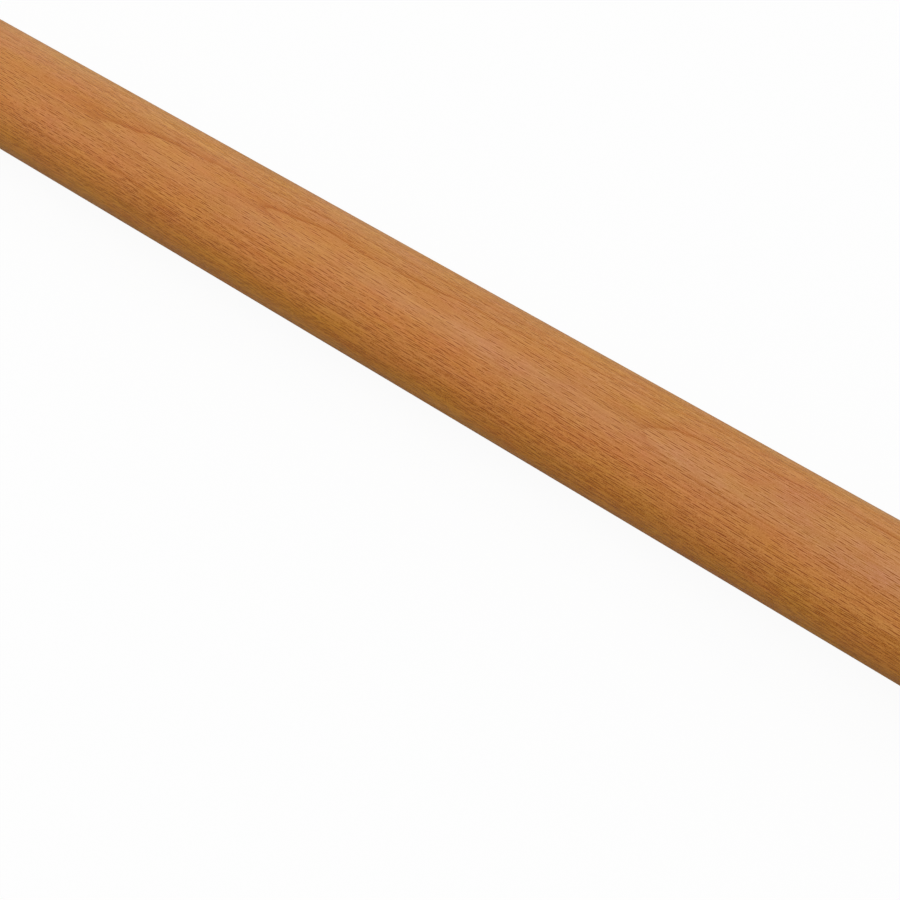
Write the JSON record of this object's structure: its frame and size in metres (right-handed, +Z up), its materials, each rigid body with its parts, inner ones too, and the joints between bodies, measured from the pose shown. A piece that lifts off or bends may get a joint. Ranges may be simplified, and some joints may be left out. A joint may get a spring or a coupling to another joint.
{
  "type": "round timber stair handrail length",
  "caption": "Plain round beech handrail length with square-sawn, chamfered ends, for wall or baluster brackets beside a stair.",
  "frame": {"origin": "on the floor, under the middle of the rail's length, where the grip touches the floor", "axes": "+X along the rail, +Z up, so the rail's axis is parallel to X and one radius above the origin"},
  "size_m": [1, 0.0418, 0.042],
  "materials": {
    "lacquered_beech": "steamed beech, sanded round and clear lacquered to a satin sheen, with short dark ray flecks along the grain"
  },
  "bodies": {
    "root": {"handrail": "lacquered_beech"}
  },
  "joints": []
}
